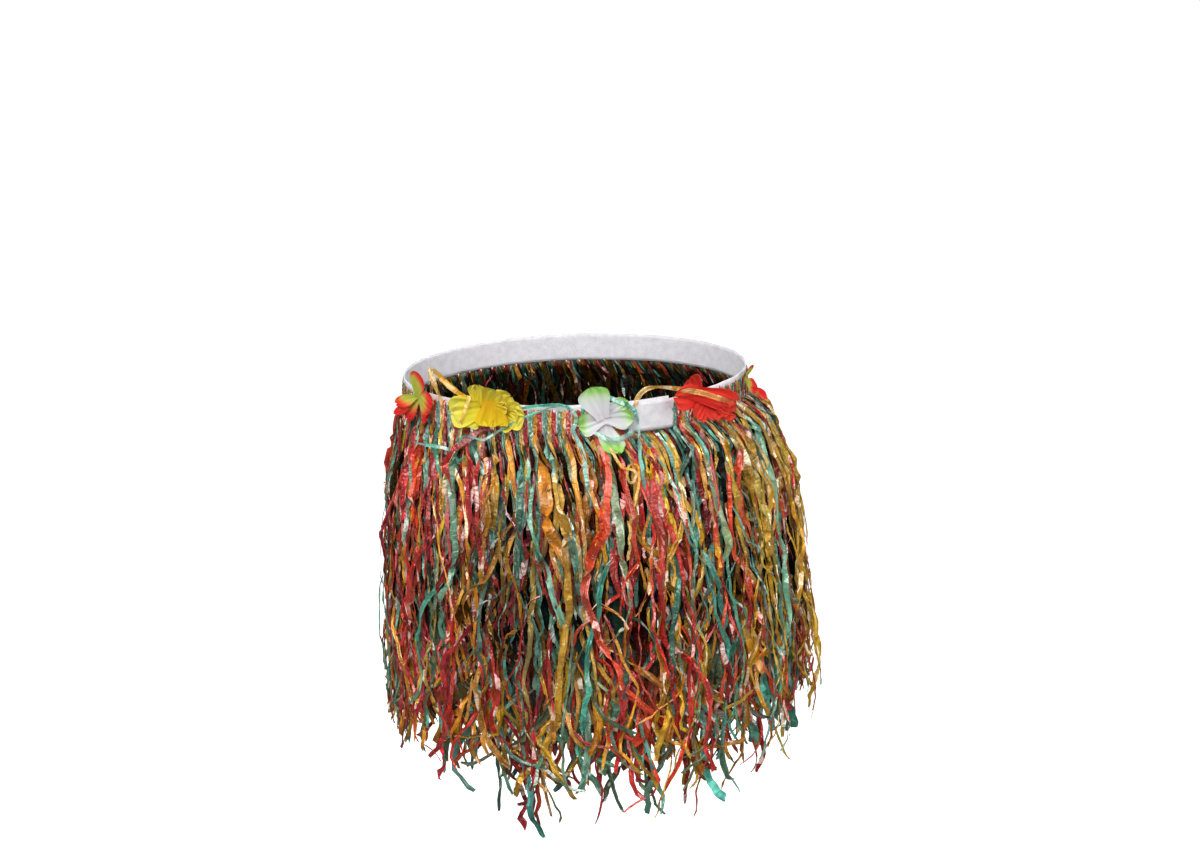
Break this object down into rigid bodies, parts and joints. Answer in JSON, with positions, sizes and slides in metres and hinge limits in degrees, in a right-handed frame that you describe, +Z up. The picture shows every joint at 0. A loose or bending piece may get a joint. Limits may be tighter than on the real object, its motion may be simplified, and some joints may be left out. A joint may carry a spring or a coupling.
{
  "type": "grass skirt",
  "caption": "Short party grass skirt as worn: a narrow wrap waistband with a lapped tab, hung with crinkled film strips in red, gold and teal, with cloth flowers sewn over the strips' tops.",
  "frame": {"origin": "centre of the waistband, level with the middle of its tape, where the wearer's waist holds the skirt", "axes": "+Z up the wearer's body, +X towards the wearer's left side, which is on the right in the front view, -Y out of the front"},
  "size_m": [0.3902, 0.3193, 0.3814],
  "materials": {
    "waistband": "bonded white tape with a fine dotted surface, matt",
    "hook_patch": "white hook tape, matt",
    "strips_red": "thin crimson plastic film, crinkled and shiny, a little see-through",
    "strips_gold": "thin old-gold plastic film, crinkled and shiny, a little see-through",
    "strips_teal": "thin sea-green plastic film, crinkled and shiny, a little see-through",
    "flower_flame": "thin cloth petals, yellow-green at the middle and red at the tips",
    "flower_yellow": "thin ruffled cloth petals, yellow",
    "flower_white_green": "thin cloth petals, white with light green rims",
    "flower_scarlet": "thin ruffled cloth petals, scarlet"
  },
  "bodies": {
    "root": {"waistband": "waistband", "hook_patch": "hook_patch", "fringe_01_red": "strips_red", "fringe_01_gold": "strips_gold", "fringe_01_teal": "strips_teal", "fringe_02_red": "strips_red", "fringe_02_gold": "strips_gold", "fringe_02_teal": "strips_teal", "fringe_03_red": "strips_red", "fringe_03_gold": "strips_gold", "fringe_03_teal": "strips_teal", "fringe_04_red": "strips_red", "fringe_04_gold": "strips_gold", "fringe_04_teal": "strips_teal", "fringe_05_red": "strips_red", "fringe_05_gold": "strips_gold", "fringe_05_teal": "strips_teal", "fringe_06_red": "strips_red", "fringe_06_gold": "strips_gold", "fringe_06_teal": "strips_teal", "fringe_07_red": "strips_red", "fringe_07_gold": "strips_gold", "fringe_07_teal": "strips_teal", "fringe_08_red": "strips_red", "fringe_08_gold": "strips_gold", "fringe_08_teal": "strips_teal", "fringe_09_red": "strips_red", "fringe_09_gold": "strips_gold", "fringe_09_teal": "strips_teal", "fringe_10_red": "strips_red", "fringe_10_gold": "strips_gold", "fringe_10_teal": "strips_teal", "flower_left": "flower_flame", "flower_yellow": "flower_yellow", "flower_white": "flower_white_green", "flower_red": "flower_scarlet", "flower_right": "flower_flame"}
  },
  "joints": []
}
